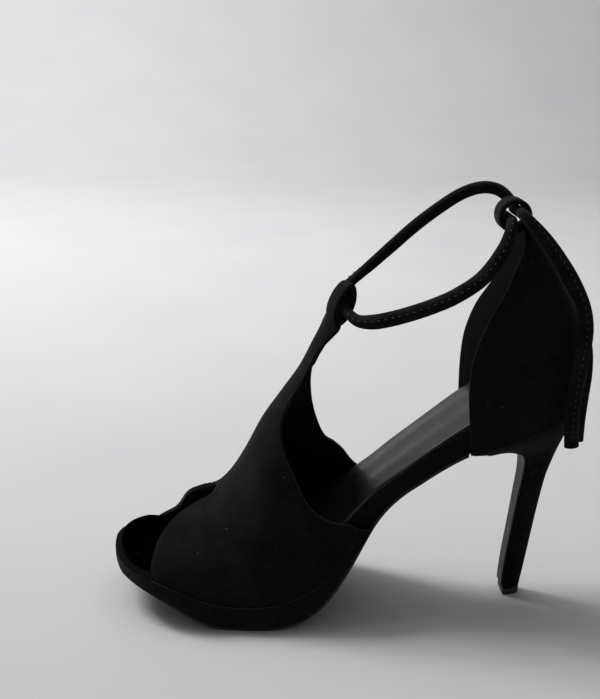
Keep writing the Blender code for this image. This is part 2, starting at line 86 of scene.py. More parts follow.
def smooth_between(t: float, start: float, end: float, start_slope: float, end_slope: float) -> float:
    """Value on a smooth curve between two values, at a share t of the way.

    Args:
        t: share of the way, from 0 to 1.
        start: value, or array of values, at 0.
        end: value at 1.
        start_slope: slope at 0, over the whole way.
        end_slope: slope at 1, over the whole way.

    Returns:
        The value at t.
    """
    ends = (1 + 2 * t) * (1 - t) ** 2 * start + t * t * (3 - 2 * t) * end
    return ends + t * (1 - t) ** 2 * start_slope - t * t * (1 - t) * end_slope


class Table:
    """Rows of sizes that are read smoothly between the rows by the first column."""

    def __init__(self, columns: str, *rows: tuple[float, ...]) -> None:
        """Keep the rows and the slope of every column at every row.

        Args:
            columns: names of the columns, the key first.
            rows: the sizes, one tuple for each key.
        """
        self.columns = columns.split()
        self.values = np.array(sorted(rows), float)
        self.keys = self.values[:, 0]
        self.slopes = np.gradient(self.values, self.keys, axis=0)

    def read(self, column: str, at: float) -> float:
        """Size in a column at a key.

        Args:
            column: name of the column.
            at: key to read at, held inside the table.

        Returns:
            The size, on a smooth curve through the rows.
        """
        k = self.columns.index(column)
        i = int(min(max(np.searchsorted(self.keys, at) - 1, 0), len(self.keys) - 2))
        span = self.keys[i + 1] - self.keys[i]
        t = min(max((at - self.keys[i]) / span, 0.0), 1.0)
        (start, end), (rise, fall) = self.values[i:i + 2, k], span * self.slopes[i:i + 2, k]
        return float(smooth_between(t, start, end, rise, fall))

    def row(self, at: float) -> list[float]:
        """Sizes of all the columns after the key."""
        return [self.read(column, at) for column in self.columns[1:]]


@dataclass(frozen=True)
class Margin:
    """Margin that grows smoothly from nothing to its size between two places along the shoe."""

    size: float
    start: float
    end: float

    def at(self, forward: float) -> float:
        """Margin at a place along the shoe."""
        share = min(max((forward - self.start) / (self.end - self.start), 0.0), 1.0)
        return self.size * share * share * (3 - 2 * share)


# The sole's side view: its lower face and the thickness of the block under the forefoot
UNDER = Table(
    "forward under",
    (26, 80), (30, 77.9), (37, 73.5), (48, 65.6), (59, 57.4), (65, 51.5), (70, 44.8),
    (75, 36.2), (80, 27.4), (85, 19.5), (90, 12.8), (95, 7.7), (100, 4.5), (106, 1.9),
    (112, 0.6), (117, 0.1), (122, 0), (128, 0), (135, 0), (140, 0.35), (146, 1.6),
    (152, 3.6), (158, 6), (168, 9.6), (178, 12.4), (193, 14.4))
BLOCK = Table(
    "forward block",
    (79, 0.7), (84, 5.8), (90, 10.1), (96, 12.4), (103, 13.1), (112, 12.1), (125, 11),
    (135, 11), (146, 11.3), (156, 10.9), (166, 10.2), (180, 8.6), (193, 7.4))

# The board that carries the foot: its upper face and its outline on the outer and inner side
BOARD = Table(
    "forward seat outer inner",
    (-22, 111, 22.8, 22.8), (-14, 110.6, 22.8, 22.8), (-4, 109, 22.8, 22.8),
    (4, 106.8, 22.8, 22.8), (12, 103.6, 22.8, 22.8), (20, 99.3, 22.8, 22.8),
    (28, 93.8, 22.6, 22.6), (38, 86.2, 21.8, 21.8), (48, 78.3, 21.4, 21.2),
    (59, 69.4, 22, 21.4), (66, 63.6, 23.4, 22.5), (73.5, 57, 25.8, 24.4),
    (80, 50.8, 28.2, 26.6), (90, 40.5, 31.6, 30.2), (100, 30.2, 34.2, 33.2),
    (108, 23.2, 35.6, 35), (115, 18.9, 36.2, 36), (122, 16.7, 36.5, 36.8),
    (130, 16.2, 36.2, 37.5), (140, 16.3, 35.6, 37.8), (150, 18.7, 35.6, 37.8),
    (158, 21.4, 35.6, 37.8), (165, 23.1, 35.6, 37.8), (178, 25, 35.6, 37.8),
    (193, 25.7, 35.6, 37.8))

# Ridge of the vamp over the instep and how full its sections are (1 is round, 2 is peaked)
RIDGE = Table(
    "forward ridge fullness",
    (70, 180, 2), (84, 154, 2), (90, 142.6, 2), (97, 131, 2),
    (104, 116.4, 2), (112, 104, 1.95), (122.5, 87.5, 1.9), (129, 74, 1.8),
    (135.5, 62.6, 1.7), (143, 54.2, 1.6), (150, 51.8, 1.5), (158, 49, 1.45),
    (166, 45.5, 1.4), (176, 40.5, 1.4))

# Edges of the vamp, from the sole (0) to the ridge (1): place along the shoe and angle round the foot
TOE_EDGE = {
    Side.OUTER: Table(
        "along forward angle",
        (0, 172, 0), (0.22, 171.8, 20), (0.42, 170.6, 38), (0.58, 167.6, 54),
        (0.72, 161.4, 67.5), (0.84, 153, 75.5), (0.94, 145.4, 81.5), (1, 142.8, 90)),
    Side.INNER: Table(
        "along forward angle",
        (0, 175, 0), (0.10, 172.4, 10), (0.18, 169.4, 17), (0.26, 166.6, 22.5),
        (0.33, 164.6, 28.5), (0.42, 162.6, 37.4), (0.52, 160.7, 47.2), (0.62, 158.5, 57.2),
        (0.74, 155, 66.6), (0.84, 150.6, 73.5), (0.94, 144.6, 81.5), (1, 142.8, 90)),
}
THROAT_EDGE = {
    Side.OUTER: Table(
        "along forward angle",
        (0, 70.8, 0), (0.04, 72.3, 5.6), (0.08, 74.8, 11.8), (0.13, 79.2, 19), (0.21, 86.2, 24.5),
        (0.26, 90.7, 28), (0.30, 94.35, 31.1), (0.345, 98, 34.6), (0.385, 101.1, 38.3),
        (0.42, 103.4, 42.2), (0.455, 105.7, 46.2), (0.50, 108.4, 51.2), (0.545, 111.1, 56.3),
        (0.60, 113.2, 63.5), (0.66, 113.2, 69.5), (0.72, 110, 73.8), (0.79, 103.5, 75.6),
        (0.86, 97.5, 76.5), (0.93, 91.8, 78.2), (0.972, 89.9, 80), (1, 89.2, 90)),
    Side.INNER: Table(
        "along forward angle",
        (0, 67.6, 0), (0.08, 71.3, 13.5), (0.18, 78.8, 27), (0.28, 85.6, 34.4),
        (0.38, 90.6, 39), (0.50, 94.9, 46.2), (0.62, 98.6, 56.5), (0.72, 99.6, 66), (0.80, 98, 73),
        (0.88, 94.6, 77), (0.95, 90.8, 79), (0.98, 89.8, 81), (1, 89.2, 90)),
}

# Heel counter, from its lower edge (0) to the tab under the rear loop (1); bend is the angle its
# section turns through on each side
COUNTER = Table(
    "level back back_height outer_front outer_height inner_front inner_height half bend",
    (0.00, -24, 98.9, 28, 81.5, 25, 82.5, 25.9, 90),
    (0.14, -26.8, 108, 29.4, 95, 25.6, 96, 26.9, 90),
    (0.28, -27.5, 118, 30.8, 112, 25.6, 112, 27.3, 90),
    (0.42, -25.6, 130, 29.6, 127, 24.4, 126, 26.2, 88),
    (0.56, -20.6, 143, 23.8, 141.5, 20.6, 140, 22.6, 84),
    (0.70, -13.8, 155, 16.2, 153.6, 14.6, 152.6, 17.6, 78),
    (0.82, -6.8, 166, 10.6, 164.4, 10.6, 164, 12.2, 68),
    (0.92, -0.4, 175.2, 5.6, 174.4, 7.6, 174.4, 7.4, 54),
    (1.00, 3.9, 182, 5.4, 181.8, 5.4, 181.8, 5.6, 40))

# Heel sections from the tip up: each is a slice between a back and a front point
HEEL = Table(
    "slice back back_height front front_height half",
    (0, -4.8, 3.5, 3.9, 3.5, 5), (1, -6.9, 18, 3, 18, 5),
    (2, -9.3, 36, 1, 36, 5.2), (3, -11.3, 50, -0.5, 50, 5.6),
    (4, -13.4, 62, -1.9, 61.5, 6.4), (5, -15.6, 70, -2.2, 69, 7.8),
    (6, -17.6, 76.5, -0.8, 74.8, 10.2), (7, -19.5, 82, 3.6, 78.2, 13.8),
    (8, -21.2, 87.5, 10.5, 80.2, 18), (9, -22.7, 93, 19, 80.2, 22),
    (10, -24, 98.5, 27.5, 81.2, 25.7))

# Routes of the lace and of its two free ends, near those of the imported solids
LACE_ROUTE: Route = (
    (13.1, 9.25, 184), (13.1, 3, 184), (13.1, -2, 184), (13.1, -6.8, 183.9),
    (14.2, -10.8, 180.4), (17.6, -13.2, 171.6), (26, -15.6, 160.6), (37, -17.5, 153.2),
    (47, -18.8, 148.8), (57, -18.6, 145.1), (66, -16.8, 142), (73, -14.2, 140),
    (79, -10.6, 139.4), (83, -6.4, 141.4), (85.8, -0.8, 144.4), (86.6, 5, 147.2),
    (85, 9.4, 148.6), (81.8, 12.6, 151.2), (77.4, 14.6, 154.7), (72, 16, 159.1),
    (63, 17.2, 167.2), (52.5, 18.8, 176.5), (42, 18.6, 185), (32, 16.8, 192.2),
    (23, 15.2, 195.6), (15.6, 13.8, 194.8),
    (10.8, 11.2, 191), (9.5, 6.8, 187.8), (9.5, 2, 187.7), (9.5, -3, 187.7), (9.5, -9.25, 187.7))
OUTER_TAIL_ROUTE: Route = (
    (9.5, -9.3, 187.7), (9.4, -12.2, 187.6), (5.2, -15, 183.2), (-0.4, -15.2, 177),
    (-7, -15.4, 168.8), (-13.4, -16.4, 159.2), (-18.4, -17.8, 148.6), (-20, -19.8, 138.6),
    (-18.8, -22, 127.8), (-17.4, -22.8, 116.8), (-16.8, -22.4, 105.6), (-17.2, -21, 95.6),
    (-18.2, -19.4, 88.4), (-18.8, -18.8, 83.6))
INNER_TAIL_ROUTE: Route = (
    (13.1, 9.3, 184), (13, 12.4, 183.9), (8.6, 15.6, 179.8), (1.4, 15.6, 174),
    (-6.4, 14.6, 165.8), (-14, 13.6, 155.8), (-21, 12, 145), (-26.6, 10, 133.4),
    (-29.8, 8, 121.6), (-30.4, 6.6, 110), (-29.6, 5.8, 99), (-28.9, 5.3, 88),
    (-28.8, 5, 77))


def place(forward: float, side: float, height: float) -> Vector:
    """World point, in metres, of a point on the shoe."""
    return Vector((CENTRE_FORWARD - forward, side - CENTRE_SIDE, height)) * MM


@dataclass(frozen=True)
class Last:
    """Sizes that the sole pieces and the upper share, as on the form a shoe is made over."""

    toe_start: float = 140.0
    toe_end: float = 190.0
    toe_side: float = 11.0
    toe_roundness: float = 2.25
    seat_start: float = 27.0
    seat_end: float = -21.0
    seat_roundness: float = 2.3
    platform_rear: float = 79.5
    seam_ease: float = 3.5
    breast_line: float = 27.5
    seat_low: float = 81.2
    seat_rise: float = 17.3
    seat_length: float = 51.5
    outsole_thickness: float = 1.5
    upper_wall: float = 2.0
    close_from: float = 167.0
    close_steps: int = 26
    close_turn: float = 88.5

    def under(self, forward: float) -> float:
        """Lower face of the sole, level where the forefoot stands."""
        return max(UNDER.read("under", forward), 0.0)

    def outsole_top(self, forward: float) -> float:
        """Upper face of the outsole, a sheet of even thickness along the slope."""
        slope = 0.5 * (self.under(forward + 1.0) - self.under(forward - 1.0))
        return self.under(forward) + self.outsole_thickness * math.hypot(1.0, slope)

    def seam(self, forward: float) -> float:
        """Line where the vamp stands on the platform, eased down to the outsole behind it."""
        block = BLOCK.read("block", max(forward, self.platform_rear)) + GAP
        ease = min(max(1.0 + (forward - self.platform_rear) / self.seam_ease, 0.0), 1.0)
        return self.outsole_top(forward) + block * ease * ease + GAP

    def seat_plane(self, forward: float) -> float:
        """Sloping plane between the heel and what stands on it."""
        return self.seat_low + (self.breast_line - forward) / self.seat_length * self.seat_rise

    def outline(self, forward: float, grow: float) -> tuple[float, float]:
        """Outer and inner edge of the board's outline.

        Args:
            forward: place along the shoe.
            grow: margin that the outline is grown by.

        Returns:
            The two edges as side values, outer first.
        """
        outer = BOARD.read("outer", forward) + grow
        inner = BOARD.read("inner", forward) + grow
        if forward > self.toe_start:
            middle, power = self.toe_side, self.toe_roundness
            along = (forward - self.toe_start) / (self.toe_end + grow - self.toe_start)
        elif forward < self.seat_start:
            middle, power = 0.0, self.seat_roundness
            along = (self.seat_start - forward) / (self.seat_start - self.seat_end + grow)
        else:
            return -outer, inner
        narrow = (1.0 - min(along, 1.0) ** power) ** (1.0 / power)
        return middle - (outer + middle) * narrow, middle + (inner - middle) * narrow

    def stations(self, rear: float, grow: float, spacing: float = 1.6) -> list[float]:
        """Places of the slices of a sole piece, closer together round the toe and the heel.

        Args:
            rear: where the piece ends at the back.
            grow: margin of the piece's outline.
            spacing: distance between slices in the middle.

        Returns:
            The places in order from the back to the toe.
        """
        low, turn_at = max(rear, self.seat_start), self.close_from
        marks = list(np.linspace(low, turn_at, max(2, round((turn_at - low) / spacing))))
        turns = [math.radians(self.close_turn) * i / self.close_steps for i in range(1, self.close_steps + 1)]
        marks += [turn_at + (self.toe_end + grow - turn_at) * math.sin(turn) for turn in turns]
        if rear < self.seat_start:
            depth = self.seat_start - self.seat_end + grow
            marks += [self.seat_start - depth * math.sin(turn) for turn in turns]
        return sorted(marks)


LAST = Last()


# ---- mesh helpers


def run_lengths(track: np.ndarray) -> np.ndarray:
    """Length along a track up to each of its points."""
    return np.concatenate([[0.0], np.cumsum(np.linalg.norm(np.diff(track, axis=0), axis=1))])


def point_at(mark: float, lengths: np.ndarray, track: np.ndarray) -> list[float]:
    """Place on a track at a length along it."""
    return [float(np.interp(mark, lengths, track[:, axis])) for axis in range(3)]


def mapped_grid(columns: int, rows: int, surface: Callable[[float, float], Vector]) -> BMesh:
    """Grid whose points are moved onto a surface, with the grid kept as its UV map.

    Args:
        columns: number of steps along u.
        rows: number of steps along v.
        surface: point of the surface at u and v, each from 0 to 1.

    Returns:
        The open bmesh.
    """
    bm = bmesh.new()
    bmesh.ops.create_grid(bm, x_segments=columns, y_segments=rows, size=0.5)
    uv_map = bm.loops.layers.uv.new("surface")
    for face in bm.faces:
        for loop in face.loops:
            loop[uv_map].uv = (loop.vert.co.x + 0.5, loop.vert.co.y + 0.5)
    for vert in bm.verts:
        vert.co = surface(vert.co.x + 0.5, vert.co.y + 0.5)
    return bm


def lofted(rings: Sequence[Sequence[Vector]], closed_along: bool = False) -> BMesh:
    """Closed skin through rings of equal count.

    Args:
        rings: the rings in order, each a closed line of points.
        closed_along: True where the last ring meets the first, as on a loop.

    Returns:
        The closed bmesh with its faces outwards.
    """
    count = len(rings[0])
    steps = len(rings) if closed_along else len(rings) - 1
    bm = mapped_grid(steps, count,
                     lambda u, v: rings[round(u * steps) % len(rings)][round(v * count) % count])
    bmesh.ops.remove_doubles(bm, verts=bm.verts, dist=SAME_POINT)
    if not closed_along:
        bmesh.ops.holes_fill(bm, edges=[edge for edge in bm.edges if edge.is_boundary], sides=0)
    bmesh.ops.recalc_face_normals(bm, faces=bm.faces)
    return bm


def add_modifier(piece: Object, kind: str, **settings: object) -> None:
    """Give a piece a modifier with its settings."""
    modifier = piece.modifiers.new(kind.lower(), kind)
    for name, value in settings.items():
        setattr(modifier, name, value)


def round_edges(piece: Object, width: float, angle: float = 50.0, segments: int = 3) -> None:
    """Round the edges of a piece.

    Args:
        piece: the piece.
        width: how far the rounding reaches.
        angle: edges that turn by more than this, in degrees, are rounded.
        segments: steps of the rounding.
    """
    add_modifier(piece, "BEVEL", width=width * MM, affect="EDGES", segments=segments, limit_method="ANGLE",
                 angle_limit=math.radians(angle), profile=0.5, material=-1)


def add_wall(piece: Object, thickness: float, rounding: float, **materials: int) -> None:
    """Thicken an open sheet inwards and round its edges.

    Args:
        piece: the sheet.
        thickness: thickness of the wall.
        rounding: rounding of its edges.
        materials: steps from the sheet's material number to those of the inside and the rim.
    """
    add_modifier(piece, "SOLIDIFY", thickness=thickness * MM, offset=-1.0, use_rim=True, **materials)
    round_edges(piece, rounding)


def finish_ahead(bm: BMesh, forward: float) -> None:
    """Give the faces ahead of a place along the shoe the second material."""
    front = place(forward, 0.0, 0.0).x
    for face in bm.faces:
        face.material_index = int(face.calc_center_median().x < front)


def add_piece(name: str, bm: BMesh, materials: Sequence[Material], slot: Slot,
              stands_for: str | None = None, sharp_angle: float = 60.0) -> Object:
    """Make a bmesh a piece of the shoe that rides on its one body.

    Args:
        name: name of the piece.
        bm: its mesh, which is used up.
        materials: its materials in the order of the mesh's material numbers.
        slot: the record's material slot; not used.
        stands_for: CAD node that it replaces.
        sharp_angle: edges that turn by more than this, in degrees, are shaded sharp.

    Returns:
        The piece.
    """
    mesh = bpy.data.meshes.new(name)
    bm.to_mesh(mesh)
    bm.free()
    for material in materials:
        mesh.materials.append(material)
    mesh.shade_smooth()
    mesh.set_sharp_from_angle(angle=math.radians(sharp_angle))
    piece = bpy.data.objects.new(name, mesh)
    bpy.context.scene.collection.objects.link(piece)
    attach(piece, "root")
    if stands_for:
        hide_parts(stands_for)
    LOG.info("%s: %d faces", name, len(mesh.polygons))
    return piece


class Skin:
    """Open sheet given by a surface, with its outward side known."""

    def __init__(self, surface: Callable[[float, float], Vector], probe: tuple[float, float]) -> None:
        """Keep the surface and find which way is out.

        Args:
            surface: point at u and v, each from 0 to 1.
            probe: a place on the sheet that faces the outer side of the shoe.
        """
        self.point = surface
        self.sign = 1.0
        self.sign = -1.0 if self.normal(*probe).y > 0 else 1.0

    def normal(self, u: float, v: float) -> Vector:
        """Outward direction at a place on the sheet."""
        step = 0.004
        u, v = min(max(u, step), 1 - step), min(max(v, step), 1 - step)
        along = self.point(u + step, v) - self.point(u - step, v)
        across = self.point(u, v + step) - self.point(u, v - step)
        return along.cross(across).normalized() * self.sign

    def mesh(self, columns: int, rows: int) -> BMesh:
        """Grid on the sheet whose faces look outwards."""
        bm = mapped_grid(columns, rows, self.point)
        bm.normal_update()
        bm.faces.ensure_lookup_table()
        middle = bm.faces[len(bm.faces) // 2]
        uv_map = bm.loops.layers.uv.active
        place_uv = middle.loops[0][uv_map].uv
        if middle.normal.dot(self.normal(*place_uv)) < 0:
            bmesh.ops.reverse_faces(bm, faces=bm.faces)
        return bm

    def edge_row(self, edge: float, inset: float, start: float, end: float, steps: int = 160) -> Line:
        """Line on the sheet at an even distance from one of its edges.

        Args:
            edge: 0 or 1, the value of u at the edge.
            inset: distance from the edge.
            start: value of v where the line starts.
            end: value of v where it ends.
            steps: number of steps along it.

        Returns:
            Points of the line with the outward direction at each.
        """
        line: Line = []
        inward = -0.01 if edge > 0.5 else 0.01
        for i in range(steps + 1):
            v = start + (end - start) * i / steps
            rate = (self.point(edge + inward, v) - self.point(edge, v)).length / abs(inward)
            u = edge + math.copysign(inset * MM / rate, inward)
            line.append((self.point(u, v), self.normal(u, v)))
        return line


# ---- finishes


def linear(hex_colour: str) -> tuple[float, float, float, float]:
    """Linear colour of an sRGB hex value."""
    parts = [int(hex_colour[i:i + 2], 16) / 255.0 for i in (1, 3, 5)]
    red, green, blue = (p / 12.92 if p <= 0.04045 else ((p + 0.055) / 1.055) ** 2.4 for p in parts)
    return red, green, blue, 1.0


def link_inputs(node: Node, links: dict[str | int, NodeSocket]) -> None:
    """Link outputs of other nodes into the inputs of a node."""
    for name, source in links.items():
        node.id_data.links.new(source, node.inputs[name])


def add_node(tree: NodeTree, kind: str, settings: dict[str | int, object] | None = None,
             links: dict[str | int, NodeSocket] | None = None) -> Node:
    """Add a node with its settings and links.

    Args:
        tree: node tree that gets the node.
        kind: type name of the node.
        settings: values of its properties (small first letter) and of its inputs, by name or number.
        links: outputs of other nodes that go into its inputs.

    Returns:
        The node.
    """
    node = tree.nodes.new(kind)
    for name, value in (settings or {}).items():
        if isinstance(name, str) and name[0].islower():
            setattr(node, name, value)
        else:
            node.inputs[name].default_value = value
    link_inputs(node, links or {})
    return node


def add_pattern(tree: NodeTree, kind: str, size_mm: float, **settings: float) -> Node:
    """Add a texture that lies on the piece's own coordinates.

    Args:
        tree: node tree that gets the texture.
        kind: Noise or Voronoi.
        size_mm: size of its marks.
        settings: values of its other inputs.

    Returns:
        The texture's node.
    """
    where = add_node(tree, "ShaderNodeTexCoord")
    return add_node(tree, "ShaderNodeTex" + kind, {"Scale": 1.0 / (size_mm * MM), **settings},
                    {"Vector": where.outputs["Object"]})


def mixed(tree: NodeTree, share: NodeSocket, first: str | NodeSocket,
          second: str) -> NodeSocket:
    """Mix two colours.

    Args:
        tree: node tree that gets the mix.
        share: output that gives the share of the second colour.
        first: sRGB hex value, or the output of another mix.
        second: sRGB hex value.

    Returns:
        The output with the mixed colour.
    """
    settings, links = {"data_type": "RGBA", 7: linear(second)}, {0: share}
    if isinstance(first, str):
        settings[6] = linear(first)
    else:
        links[6] = first
    return add_node(tree, "ShaderNodeMix", settings, links).outputs[2]


def new_material(name: str, settings: dict[str, object]) -> tuple[Material, NodeTree, Node]:
    """Material with one Principled shader.

    Args:
        name: name of the material.
        settings: constant values of the shader's own inputs.

    Returns:
        The material, its node tree and the shader.
    """
    material = bpy.data.materials.new(name)
    material.use_nodes = True
    tree = material.node_tree
    shader = tree.nodes["Principled BSDF"]
    for socket, value in settings.items():
        shader.inputs[socket].default_value = value
    return material, tree, shader


@dataclass(frozen=True)
class Suede:
    """Goat suede: a short brushed nap that looks lighter where it was stroked the other way."""

    name: str
    shadow: str = "#070709"
    stroked: str = "#181719"
    stroke_mm: float = 15.0
    tuft_mm: float = 1.7
    tuft_share: float = 0.45
    lint: str = "#6b6864"
    lint_cell_mm: float = 8.0
    sheen: float = 0.05
    gloss: float = 0.1

    def build(self) -> Material:
        """Make the material: no gloss, soft light edge from the nap, uneven black."""
        material, tree, shader = new_material(self.name, {
            "Roughness": 0.95, "Specular IOR Level": self.gloss, "IOR": 1.4,
            "Sheen Weight": self.sheen, "Sheen Roughness": 0.45, "Sheen Tint": linear("#b9b4b6")})
        # stroked patches, about 15 mm across, and tufts of nap, drawn 1.7 mm wide so that they show
        strokes = add_pattern(tree, "Noise", self.stroke_mm, Detail=4.0, Roughness=0.6)
        tufts = add_pattern(tree, "Noise", self.tuft_mm, Detail=3.0, Roughness=0.65)
        blend = add_node(tree, "ShaderNodeMath", {"operation": "MULTIPLY_ADD", 1: self.tuft_share},
                         {0: tufts.outputs["Fac"], 2: strokes.outputs["Fac"]})
        spread = add_node(tree, "ShaderNodeMapRange", {"From Min": 0.5, "From Max": 0.98},
                          {"Value": blend.outputs["Value"]})
        colour = mixed(tree, spread.outputs["Result"], self.shadow, self.stroked)
        # specks of lint, 0.6 mm across, where a cell of 8 mm has its middle on the surface
        cells = add_pattern(tree, "Voronoi", self.lint_cell_mm)
        speck = add_node(tree, "ShaderNodeMapRange", {"From Min": 0.04, "From Max": 0.025, "To Max": 0.6},
                         {"Value": cells.outputs["Distance"]})
        dusted = mixed(tree, speck.outputs["Result"], colour, self.lint)
        nap = add_node(tree, "ShaderNodeBump", {"Strength": 0.35, "Distance": 0.4 * MM},
                       {"Height": tufts.outputs["Fac"]})
        link_inputs(shader, {"Base Color": dusted, "Normal": nap.outputs["Normal"]})
        return material


@dataclass(frozen=True)
class CoatedSheet:
    """Coated synthetic leather or resin sheet: smooth film over a faint grain, with soft reflections."""

    name: str
    base: str
    wear_and_highlight: str
    roughness: float
    coat: float
    grain_mm: float
    grain_depth: float
    matt_from: float | None = None
    shine: float = 0.5
    mark_mm: float = 9.0
    matt_over: float = 25.0

    def build(self) -> Material:
        """Make the material: even colour, cloudy gloss and a low grain."""
        material, tree, shader = new_material(self.name, {
            "IOR": 1.5, "Specular IOR Level": self.shine, "Coat Weight": self.coat, "Coat Roughness": 0.22})
        grain = add_pattern(tree, "Voronoi", self.grain_mm)
        # handling marks, about 9 mm across
        marks = add_pattern(tree, "Noise", self.mark_mm, Detail=5.0)
        gloss = add_node(tree, "ShaderNodeMapRange", {
            "From Min": 0.3, "From Max": 0.7, "To Min": self.roughness - 0.05, "To Max": self.roughness + 0.08},
            {"Value": marks.outputs["Fac"]})
        colour = mixed(tree, marks.outputs["Fac"], self.base, self.wear_and_highlight)
        relief = add_node(tree, "ShaderNodeBump", {"Strength": self.grain_depth, "Distance": 0.2 * MM},
                          {"Height": grain.outputs["Distance"]})
        finish = gloss.outputs["Result"]
        if self.matt_from is not None:
            # rubbed matt from this place along the shoe on to the toe, over 25 mm
            where = add_node(tree, "ShaderNodeTexCoord")
            split = add_node(tree, "ShaderNodeSeparateXYZ", {}, {"Vector": where.outputs["Object"]})
            rubbed = add_node(tree, "ShaderNodeMapRange", {
                "From Min": place(self.matt_from, 0.0, 0.0).x,
                "From Max": place(self.matt_from + self.matt_over, 0.0, 0.0).x,
                "To Min": 0.0, "To Max": 0.5}, {"Value": split.outputs["X"]})
            total = add_node(tree, "ShaderNodeMath", {"operation": "ADD", "use_clamp": True},
                             {0: finish, 1: rubbed.outputs["Result"]})
            finish = total.outputs["Value"]
        link_inputs(shader, {"Roughness": finish, "Base Color": colour, "Normal": relief.outputs["Normal"]})
        return material


@dataclass(frozen=True)
class Thread:
    """Polyester sewing thread: tight twist with a slight silk shine."""

    name: str
    dark: str
    light: str
    tone_mm: float = 4.0

    def build(self) -> Material:
        """Make the material: each stitch a little lighter or darker than the next."""
        material, tree, shader = new_material(self.name, {"Roughness": 0.8, "Specular IOR Level": 0.15})
        # tone changes every 4 mm or so, about one stitch
        tone = add_pattern(tree, "Noise", self.tone_mm, Detail=2.0)
        link_inputs(shader, {"Base Color": mixed(tree, tone.outputs["Fac"], self.dark, self.light)})
        return material


class Finishes:
    """All the materials of the shoe, made once."""

    def __init__(self) -> None:
        """Make each finish."""
        self.upper = Suede("goat suede").build()
        # folded-edge suede, a little lighter and with more sheen than the upper, as a painted highlight along the
        # vamp's rims
        self.fold_highlight = Suede("goat suede folded edge highlight", "#0a090b", "#191719", sheen=0.08).build()
        # suede facing turned in at the toe, lighter than the upper as painted light on the inside of the far wall,
        # which lies in shade
        self.facing = Suede("goat suede facing with painted light", "#1b1a1c", "#2c2a2c").build()
        # darker copy of the suede as painted shade: on the platform's top at the toe and on the counter's rims
        self.rim = Suede("goat suede shaded rim", "#030304", "#0b0a0b", sheen=0.02, gloss=0.05).build()
        # lighter copy of the suede as a painted highlight along the platform's upper corner
        self.wear_and_highlight = Suede("goat suede painted highlight edge", "#151416", "#2e2c2d", sheen=0.18).build()
        self.lace = Suede("goat suede lace", "#0a0909", "#1d1a1a", stroke_mm=7.0, sheen=0.07).build()
        # the vamp's lining is near black and the heel lining light grey: partly two linings, partly painted shade in
        # the vamp's shaded inside and painted light on the counter's lit inside
        self.lining = CoatedSheet("coated lining", "#060607", "#0b0b0c", 0.75, 0.0, 0.9, 0.15, shine=0.1).build()
        self.heel_lining = CoatedSheet(
            "brushed heel lining with painted light", "#323233", "#414041", 0.85, 0.0, 0.9, 0.2, shine=0.1).build()
        # matt microfibre sock toe, coloured pure black as painted shade over the forefoot
        self.sock_front = Suede("microfibre sock with painted shade", "#000000", "#020203", sheen=0.0, gloss=0.0).build()
        self.sock = CoatedSheet("coated sock leather", "#0b0b0c", "#121212", 0.38, 0.08, 1.3, 0.12, 78.0, 0.2).build()
        self.outsole = CoatedSheet("resin outsole", "#0e0e0f", "#181717", 0.5, 0.0, 1.8, 0.2, shine=0.3).build()
        self.cut_edge = CoatedSheet("resin cut edge", "#3d3a37", "#6a6660", 0.6, 0.0, 0.8, 0.3).build()
        self.breast = CoatedSheet("resin sheet", "#0c0c0d", "#141414", 0.48, 0.0, 2.5, 0.05, shine=0.3).build()
        self.lift = CoatedSheet("moulded polyurethane", "#0d0d0d", "#1a1918", 0.5, 0.0, 0.7, 0.3).build()
        self.black_thread = Thread("black sewing thread", "#0b0a0c", "#1a191a").build()
        self.pale_thread = Thread("grey sewing thread", "#1d1b1a", "#565149").build()


# ---- stitches


@dataclass
class StitchRow:
    """Row of lockstitches on a line."""

    pitch: float = 3.0
    length: float = 1.9
    thread: float = 0.45
    flatness: float = 0.8
    first: float = 0.6
    proud: float = 0.08
    reach: float = 0.4

    def build(self, name: str, lines: Sequence[Line], material: Material,
              slot: Slot) -> Object:
        """Lay one stitch every pitch along each line.

        Args:
            name: name of the piece.
            lines: points with their outward directions.
            material: the thread's material.
            slot: the record's slot of what the row is sewn on.

        Returns:
            The piece that holds all the stitches.
        """
        bm = bmesh.new()
        width = 0.5 * self.thread * MM
        size = Matrix.Diagonal((0.5 * self.length * MM, width, self.flatness * width, 1.0))
        for line in lines:
            points, normals = (np.array([tuple(pair[k]) for pair in line]) for k in (0, 1))
            lengths = run_lengths(points)
            for mark in np.arange(self.first * self.pitch * MM, lengths[-1], self.pitch * MM):
                behind, middle, ahead = (Vector(point_at(mark + step * self.reach * MM, lengths, points))
                                         for step in (-1, 0, 1))
                out = Vector(point_at(mark, lengths, normals)).normalized()
                along = (ahead - behind).normalized()
                across = out.cross(along).normalized()
                turn = Matrix((along, across, along.cross(across))).transposed().to_4x4()
                bmesh.ops.create_uvsphere(
                    bm, u_segments=6, v_segments=5, radius=1.0,
                    matrix=Matrix.Translation(middle + out * self.proud * MM) @ turn @ size)
        return add_piece(name, bm, [material], slot)


# ---- lace


